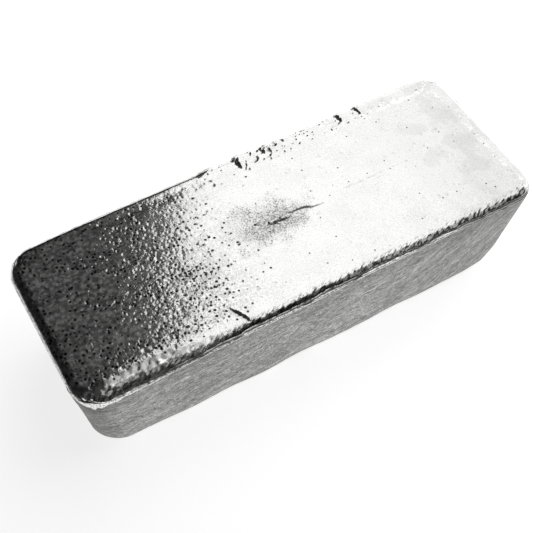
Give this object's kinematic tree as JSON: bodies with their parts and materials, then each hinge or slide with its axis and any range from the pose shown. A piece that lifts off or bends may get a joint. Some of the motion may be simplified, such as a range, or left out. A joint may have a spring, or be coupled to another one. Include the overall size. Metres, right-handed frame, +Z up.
{
  "type": "silver bar",
  "caption": "Cast silver bullion bar with drafted sides, rounded base edges, a rolled top edge inside a thin frozen lip, and a shrink hollow with a crack in the top.",
  "frame": {"origin": "middle of the flat underside that the bar rests on", "axes": "+X along the bar, +Y across it, +Z up from the underside to the open-cast top face"},
  "size_m": [0.3198, 0.1198, 0.0845],
  "materials": {
    "silver": "as-cast fine silver: satin bright, pitted on the open top face, finely grained on the mould faces"
  },
  "bodies": {
    "root": {"silver_bar": "silver"}
  },
  "joints": []
}
